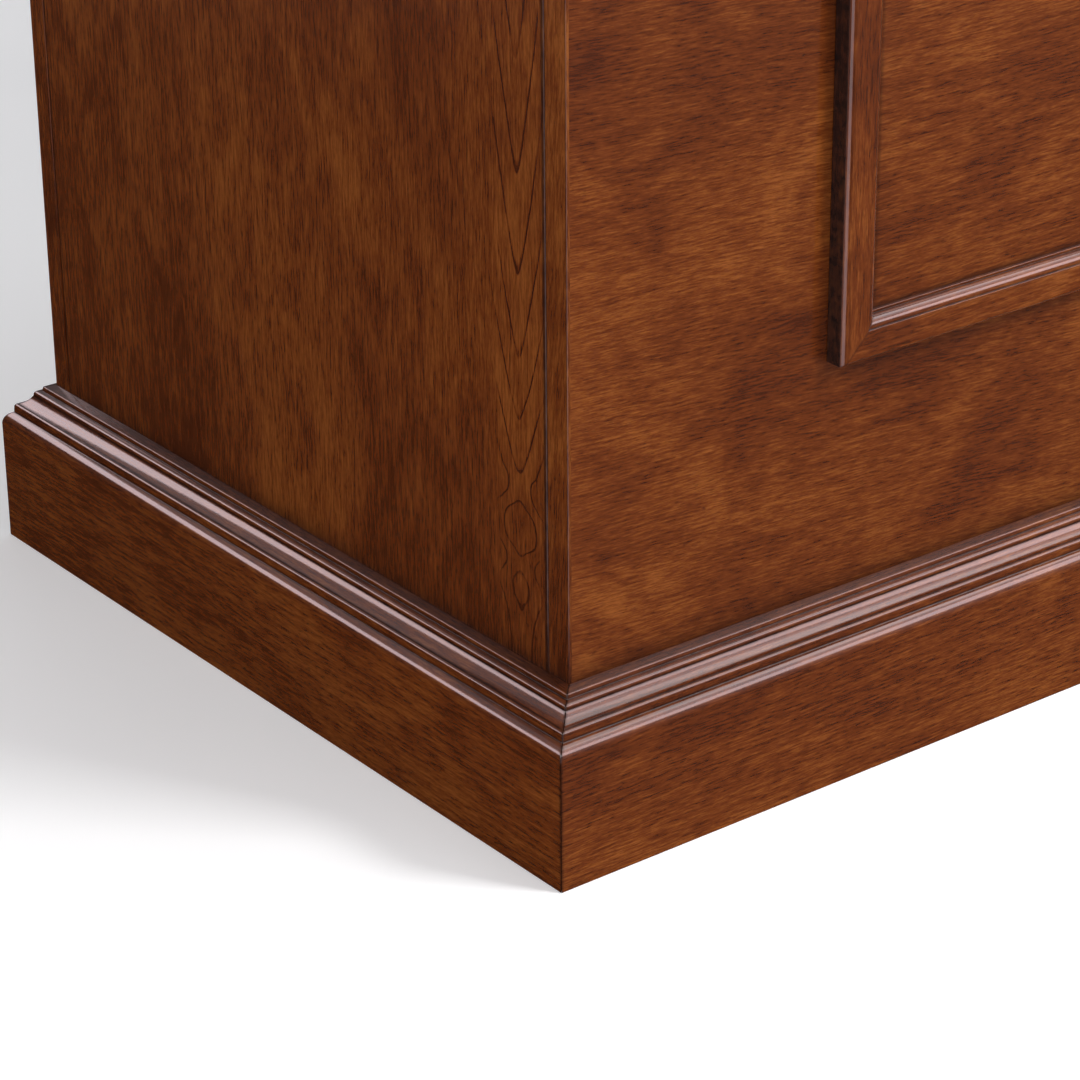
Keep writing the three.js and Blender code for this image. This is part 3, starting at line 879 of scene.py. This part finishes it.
def moulded_top(node, grain, open_side=None):
    """A moulded solid edge, a cross-grained band, and book-matched leaves inside."""
    low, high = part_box(node)
    build = Build()
    ring_of_boards(build, top_edge_outline(), low, high, open_side, 0.2 * MM, False)

    def pulled_in(distance):
        """The top's box, smaller by distance on each closed side."""
        a, b = Vector(low), Vector(high)
        for side in (X, -X, Y, -Y):
            if side == open_side:
                continue
            if side.x + side.y > 0:
                b -= side * distance
            else:
                a -= side * distance
        return a, b

    band_low, band_high = pulled_in(EDGE_WIDE * MM + HAIR)
    ring_of_boards(build, rectangle(BAND_WIDE, high.z - low.z, HAIR),
                   band_low, band_high, open_side, HAIR, True)
    field_low, field_high = pulled_in(EDGE_WIDE * MM + BAND_WIDE + 2 * HAIR)
    fibre, across, _ = grain
    room = abs((field_high - field_low).dot(across))
    count = max(2, round(room / LEAF_WIDE))
    step = room / count
    flip = 1
    offset = 0.0
    shift = build.new_shift()
    start = field_low.dot(across)
    for i in range(count):
        leaf_low = field_low + across * (step * i)
        leaf_high = field_high - across * (step * (count - 1 - i))
        build.board(leaf_low, leaf_high, fibre, 0, (fibre, across * flip, Z),
                    shift + Vector((0, offset, 0)))
        offset += 2 * flip * (start + step * (i + 1))
        flip = -flip
    build.finish(node + "_boards", WOOD_TOP, node)


moulded_top("main_top", (X, Y, Z))
moulded_top("return_top", (Y, X, Z), open_side=-Y)

# ---------------------------------------------------------------- pedestals


def world_box(*points):
    """The lowest and highest corners of the box round some points."""
    low = Vector([min(p[i] for p in points) for i in range(3)])
    high = Vector([max(p[i] for p in points) for i in range(3)])
    return low, high


class Place:
    """A node's box seen from the front: across from its left side, out from its back,
    and height above the floor."""

    def __init__(self, node, outward):
        low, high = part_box(node)
        self.outward = outward
        self.side = Z.cross(outward)
        self.origin = corner_at(low, high, outward, self.side)
        self.origin.z = 0
        self.wide = abs((high - low).dot(self.side))
        self.thick = abs((high - low).dot(outward))
        self.low, self.high = low.z, high.z

    def point(self, across, out, height):
        return self.origin + self.side * across + self.outward * out + Z * height

    def board(self, build, start, end, along, ease):
        build.board(*world_box(self.point(*start), self.point(*end)), along, ease)


STILE = 40 * MM
RAIL_LAP = 10 * MM  # of a drawer front over the rails
FRAME_EASE = 0.5 * MM
DRAWER_SIDE = 12 * MM
DRAWER_BOTTOM = 6 * MM
DRAWER_EASE = 1.2 * MM


def face_frame(node, outward, fronts):
    """Two stiles with rails between them, above, below and between the fronts."""
    place = Place(node, outward)
    build = Build()
    for left in (0, place.wide - STILE):
        place.board(build, (left, 0, place.low), (left + STILE, place.thick, place.high), Z,
                    FRAME_EASE)
    heights = [place.low]
    for front in fronts:
        low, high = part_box(front)
        heights += [low.z + RAIL_LAP, high.z - RAIL_LAP]
    heights.append(place.high)
    for low, high in zip(heights[::2], heights[1::2]):
        place.board(build, (STILE, 0, low), (place.wide - STILE, place.thick, high),
                    place.side, FRAME_EASE)
    build.finish(node + "_boards", WOOD_SOLID, node)


def drawer_box(node, outward):
    """Sides, front, back and a bottom let in between them."""
    place = Place(node, outward)
    w, t, low, high = place.wide, place.thick, place.low, place.high
    s = DRAWER_SIDE
    build = Build()
    for left in (0, w - s):
        place.board(build, (left, 0, low), (left + s, t, high), outward, DRAWER_EASE)
    for out in (0, t - s):
        place.board(build, (s, out, low), (w - s, out + s, high), place.side, DRAWER_EASE)
    place.board(build, (s, s, low), (w - s, t - s, low + DRAWER_BOTTOM), place.side, 0.3 * MM)
    build.finish(node + "_boards", WOOD_DRAWER, node)


def runner(node, outward):
    """A channel with turned-in lips, and the inner bar that slides in it."""
    place = Place(node, outward)
    w, h = place.wide, place.high - place.low
    t, lip = 1.6 * MM, 7 * MM
    top = h - 3 * MM
    under = top - t
    channel = [(0, 0), (w, 0), (w, top), (w - lip, top), (w - lip, under), (w - t, under),
               (w - t, t), (t, t), (t, under), (lip, under), (lip, top), (0, top)]
    beside, foot = 10 * MM, 5 * MM
    bar = [(beside, foot), (w - beside, foot), (w - beside, h), (beside, h)]
    build = Build()
    start = place.point(0, 0, place.low)
    for outline in (channel, bar):
        build.sweep([(a, b, 0.0) for a, b in outline], start, place.side, Z,
                    place.thick, ease=0.2 * MM, grain=(outward, place.side, Z))
    build.finish(node + "_channel", STEEL, node)


def rod_curve(points, per_span=8):
    """A smooth curve through points, of per_span steps between each two."""
    result = []
    for i in range(len(points) - 1):
        p0 = points[max(i - 1, 0)]
        p1, p2 = points[i], points[i + 1]
        p3 = points[min(i + 2, len(points) - 1)]
        for k in range(per_span):
            t = k / per_span
            result.append(0.5 * (2 * p1 + (p2 - p0) * t
                                 + (2 * p0 - 5 * p1 + 4 * p2 - p3) * t ** 2
                                 + (3 * p1 - p0 - 3 * p2 + p3) * t ** 3))
    result.append(points[-1])
    return result


PULL_HALF = 40  # from the pull's middle to each post
POST_HEAD = 5
PIVOT_UP = 9
OVAL_HALF = (54, 16)
BAIL_ROD = 2.8
PIN = 1.8
PIN_DEEP = 3.6
# Swellings of the bail: (height, place from its middle at 0 to its ends at 1, width).
SWELLINGS = ((0.5, 0.0, 0.16), (0.8, 0.34, 0.022), (-0.35, 0.75, 0.2))

# The plate's rim is (inset, out, glaze), and a post is (radius, out, glaze).
OVAL_RINGS = ((0, 0.0, 0.6), (0, 1.2, 0.0), (0.4, 1.7, 0.0), (1.2, 2.1, 0.0), (2.2, 2.2, 0.0),
              (2.9, 2.0, 0.2), (3.5, 1.6, 0.8), (4.6, 1.5, 0.3), (6.5, 1.7, 0.0),
              (9.5, 2.0, 0.0), (13.0, 2.15, 0.0), (15.4, 2.2, 0.0))
POST = ((6.4, 1.4, 0.9), (6.5, 2.0, 0.5), (6.5, 2.6, 0.1), (6.0, 3.3, 0.1), (4.8, 4.0, 0.3),
        (3.9, 5.0, 0.5), (3.6, 6.4, 0.3), (3.7, 8.0, 0.3), (4.3, 9.6, 0.4), (4.9, 10.6, 0.2),
        (5.0, 11.6, 0.0), (5.0, 17.4, 0.0), (4.7, 18.4, 0.0), (3.8, 19.1, 0.0),
        (2.0, 19.45, 0.0), (0.1, 19.5, 0.0))


def pull_plate(node, outward):
    """An oval plate with a raised rim and a turned post on each side."""
    place = Place(node, outward)
    middle = (place.low + place.high) / 2
    build = Build()
    steps = 64
    loops = []
    shift = build.new_shift()
    for inset, out, glaze_and_shade in OVAL_RINGS:
        loop = []
        for i in range(steps):
            angle = -2 * math.pi * i / steps
            across = place.wide / 2 + (OVAL_HALF[0] - inset) * MM * math.cos(angle)
            rise = (OVAL_HALF[1] - inset) * MM * math.sin(angle)
            point = place.point(across, out * MM, middle + rise)
            loop.append(build.add(point, point + shift, glaze_and_shade))
        loops.append(loop)
    build.skin(loops)
    for side in (-1, 1):
        foot = place.point(place.wide / 2 + side * PULL_HALF * MM, 0, middle + PIVOT_UP * MM)
        build.turned(POST, foot, outward)
    build.finish(node + "_brass", BRASS, node, smooth=50)


def pull_bail(node, outward):
    """A swinging handle on two pins, thicker at its middle, with a bead each side."""
    place = Place(node, outward)
    pivot = place.high - BAIL_ROD * MM
    half_wide = place.wide / 2
    end = PULL_HALF - POST_HEAD - 0.8
    half = [(end, 0), (end - 2, 0), (end - 4.5, -6), (end - 6, -14),
            (end - 12.5, -22), (end - 23.5, -26)]
    route = half + [(0, -27)] + [(-x, z) for x, z in reversed(half)]
    out = place.thick / 2
    path = rod_curve([place.point(half_wide + x * MM, out, pivot + z * MM) for x, z in route])
    radii = []
    for i in range(len(path)):
        t = abs(2 * i / (len(path) - 1) - 1)
        radius = BAIL_ROD - 0.3
        for height, at, width in SWELLINGS:
            radius += height * math.exp(-(((t - at) / width) ** 2))
        radii.append(radius * MM)
    radii[0] = radii[-1] = 2.0 * MM
    build = Build()
    build.tube(path, radii, outward)
    for side in (-1, 1):
        start = place.point(half_wide + side * (end - 1) * MM, out, pivot)
        length = PIN_DEEP + 1.8
        pin = ((PIN, 0, 0.5), (PIN, length, 0.0), (PIN - 0.4, length + 0.4, 0.0))
        build.turned(pin, start, place.side * side, 16)
        collar = ((2.0, -0.9, 0.2), (3.0, -0.6, 0.2), (3.3, 0.2, 0), (3.0, 0.9, 0),
                  (2.2, 1.2, 0.2))
        build.turned(collar, start, place.side * side, 20)
    build.finish(node + "_brass", BRASS, node, smooth=50)


def pedestal(name, outward, drawers):
    """The face frame, and each drawer's box, runner and pull."""
    fronts = [f"{name}_drawer_{i}_front" for i in range(drawers, 0, -1)]
    face_frame(f"{name}_face_frame", outward, fronts)
    for i in range(1, drawers + 1):
        drawer_box(f"{name}_drawer_{i}_box", outward)
        runner(f"{name}_drawer_{i}_runner", outward)
        pull_plate(f"{name}_drawer_{i}_pull_plate", outward)
        pull_bail(f"{name}_drawer_{i}_pull_bail", outward)


pedestal("left", Y, 3)
pedestal("return", -X, 2)

# ---------------------------------------------------------------- pencil drawer


def pencil_front():
    """A shallow front, rounded over on all four edges of its face."""
    place = Place("pencil_drawer_front", Y)
    high = (place.high - place.low) / MM
    thick = place.thick / MM
    radius = 5
    points = [(0, 0)]
    points += arc(radius, thick - radius, radius, 180, 90, 6)
    points += arc(high - radius, thick - radius, radius, 90, 0, 6)
    points += [(high, 0)]
    build = Build()
    build.sweep(section(points, ease=0.4), place.point(0, 0, place.low), Z, Y,
                place.wide, ease=3.0 * MM)
    build.finish("pencil_drawer_front_board", WOOD_FRONT, "pencil_drawer_front")


def pencil_rail(node, foot_side):
    """An L-shaped rail: the web hangs from the top, and the drawer runs on its foot."""
    low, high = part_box(node)
    wide = (high.x - low.x) / MM
    tall = (high.z - low.z) / MM
    web, foot_high = 10, 6
    if foot_side > 0:
        points = [(0, 0), (wide, 0), (wide, foot_high), (web, foot_high), (web, tall), (0, tall)]
    else:
        points = [(0, 0), (wide, 0), (wide, tall), (wide - web, tall),
                  (wide - web, foot_high), (0, foot_high)]
    build = Build()
    build.sweep(section(points, ease=1.0, spread=0.01), Vector((low.x, high.y, low.z)), X, Z,
                high.y - low.y)
    build.finish(node + "_board", WOOD_SOLID, node)


pencil_front()
drawer_box("pencil_drawer_box", Y)
pencil_rail("pencil_drawer_rail_left", 1)
pencil_rail("pencil_drawer_rail_right", -1)

# ---------------------------------------------------------------- stage, light, camera

# Places of the lights and the camera are in metres from the desk's near corner.
NEAR_CORNER = Vector((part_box("left_end_plinth")[0].x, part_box("visitor_plinth")[0].y, 0))
FLOOR_HALF = 50  # far enough that low views don't reach its edge
FLOOR_DROP = 0.2 * MM

LENS = 121.72
SENSOR = 36
CAMERA_PLACE = Vector((-1.2791, -1.6511, 1.2383))
AZIMUTH = 37.433
ELEVATION = 25.132
ROLL = -0.516

ROSE = (1.0, 0.80, 0.83)
DESK_MIDDLE = (0.3, 0.3, 0.15)
VISITOR_FOOT = (0.45, 0.0, 0.12)
END_FOOT = (0.0, 0.35, 0.12)
CORNER_ARRIS = (0.0, 0.0, 0.46)

# Brightness of the studio, from straight down at 0 to straight up at 1.
LEVELS = ((0.0, 0.01), (0.33, 0.07), (0.47, 0.16), (0.53, 0.30), (0.66, 0.60), (0.9, 0.75))
LEVEL_BLUE = 1.06


def make_floor():
    mesh = bpy.data.meshes.new("floor")
    h = FLOOR_HALF
    mesh.from_pydata([(-h, -h, 0), (h, -h, 0), (h, h, 0), (-h, h, 0)], [], [(0, 1, 2, 3)])
    n = new_material("floor_paint")
    place = n.node("ShaderNodeTexCoord").outputs["Object"]
    tint = n.between(n.noise(place, (3, 3, 3), 3), 0.2, 0.8)
    mesh.materials.append(n.shader(
        Base_Color=n.ramp(tint, ((0.0, (0.88, 0.88, 0.88)), (1.0, (0.92, 0.92, 0.92)))),
        Roughness=0.9, Specular_IOR_Level=0.1, Emission_Color=(1, 1, 1, 1),
        Emission_Strength=0.2))
    floor = bpy.data.objects.new("floor", mesh)
    floor.location.z = -FLOOR_DROP
    bpy.context.scene.collection.objects.link(floor)
    floor.visible_glossy = False


def make_world():
    """A studio that is brighter above, and towards the desk's right end."""
    world = bpy.data.worlds.new("studio")
    bpy.context.scene.world = world
    n = Nodes(world)
    direction = n.node("ShaderNodeTexCoord").outputs["Generated"]
    x, y, z = n.split(direction)
    rise = n.math("MULTIPLY_ADD", z, 0.5, 0.5)
    level = n.ramp(rise, [(place, (v, v, v * LEVEL_BLUE)) for place, v in LEVELS])
    toward = n.math("MULTIPLY_ADD", x, 0.95, n.math("MULTIPLY", y, -0.30))
    share = n.between(toward, -0.5, 0.5, 0.16, 1.0)
    room = n.mix(1.0, level, n.combine(share, share, share), "MULTIPLY")
    background = n.node("ShaderNodeBackground")
    n.plug(background.inputs[0], room)
    output = n.node("ShaderNodeOutputWorld")
    n.links.new(background.outputs[0], output.inputs[0])


def softbox(name, offset, aim, size, radiance, colour=(1, 1, 1), diffuse=True,
            glossy=True):
    """An area light of a given brightness to look at. Without diffuse it shows only as
    a gleam in the lacquer, and without glossy it shows in no reflection."""
    place = NEAR_CORNER + Vector(offset)
    data = bpy.data.lights.new(name, "AREA")
    data.shape = "RECTANGLE"
    data.size, data.size_y = size
    data.energy = radiance * size[0] * size[1] * math.pi
    data.color = colour
    light = bpy.data.objects.new(name, data)
    light.location = place
    toward = NEAR_CORNER + Vector(aim) - place
    light.rotation_euler = toward.to_track_quat("-Z", "Y").to_euler()
    light.visible_camera = False
    light.visible_diffuse = diffuse
    light.visible_glossy = glossy
    bpy.context.scene.collection.objects.link(light)


def make_lights():
    """Three studio lights, and long gleams close to the mouldings."""
    softbox("overhead", (1.3, -0.5, 2.9), DESK_MIDDLE, (2.4, 2.4), 1.6)
    softbox("key", (1.5, -1.9, 2.2), DESK_MIDDLE, (0.75, 0.75), 32.5, glossy=False)
    softbox("fill", (-1.7, -0.85, 2.0), DESK_MIDDLE, (1.0, 1.0), 9.4)
    for name, offset, aim, size, radiance in (
        ("visitor_gleam", (0.95, -0.59, 0.58), VISITOR_FOOT, (1.6, 0.32), 4.4),
        ("visitor_glow", (1.2, -0.45, 1.25), VISITOR_FOOT, (1.8, 0.5), 1.5),
        ("end_gleam", (-0.50, 1.0, 0.48), END_FOOT, (1.3, 0.24), 4.8),
        ("arris_gleam", (-0.33, -0.26, 0.27), CORNER_ARRIS, (0.5, 0.64), 1.7),
        ("end_glow", (-0.28, 1.15, 0.85), END_FOOT, (1.4, 0.45), 0.5),
    ):
        softbox(name, offset, aim, size, radiance, ROSE, diffuse=False)


def make_camera():
    """The picture's viewing angle, distance and lens."""
    data = bpy.data.cameras.new("camera")
    data.sensor_width = SENSOR
    data.lens = LENS
    data.clip_start = 0.05
    data.clip_end = 60
    camera = bpy.data.objects.new("camera", data)
    camera.location = NEAR_CORNER + CAMERA_PLACE
    turn = Euler((math.radians(90 - ELEVATION), 0, math.radians(-AZIMUTH)), "XYZ")
    spin = Euler((0, 0, math.radians(ROLL)), "XYZ")
    camera.rotation_mode = "QUATERNION"
    camera.rotation_quaternion = turn.to_quaternion() @ spin.to_quaternion()
    bpy.context.scene.collection.objects.link(camera)
    bpy.context.scene.camera = camera


make_floor()
make_world()
make_lights()
make_camera()
bpy.context.scene.view_settings.view_transform = "Standard"
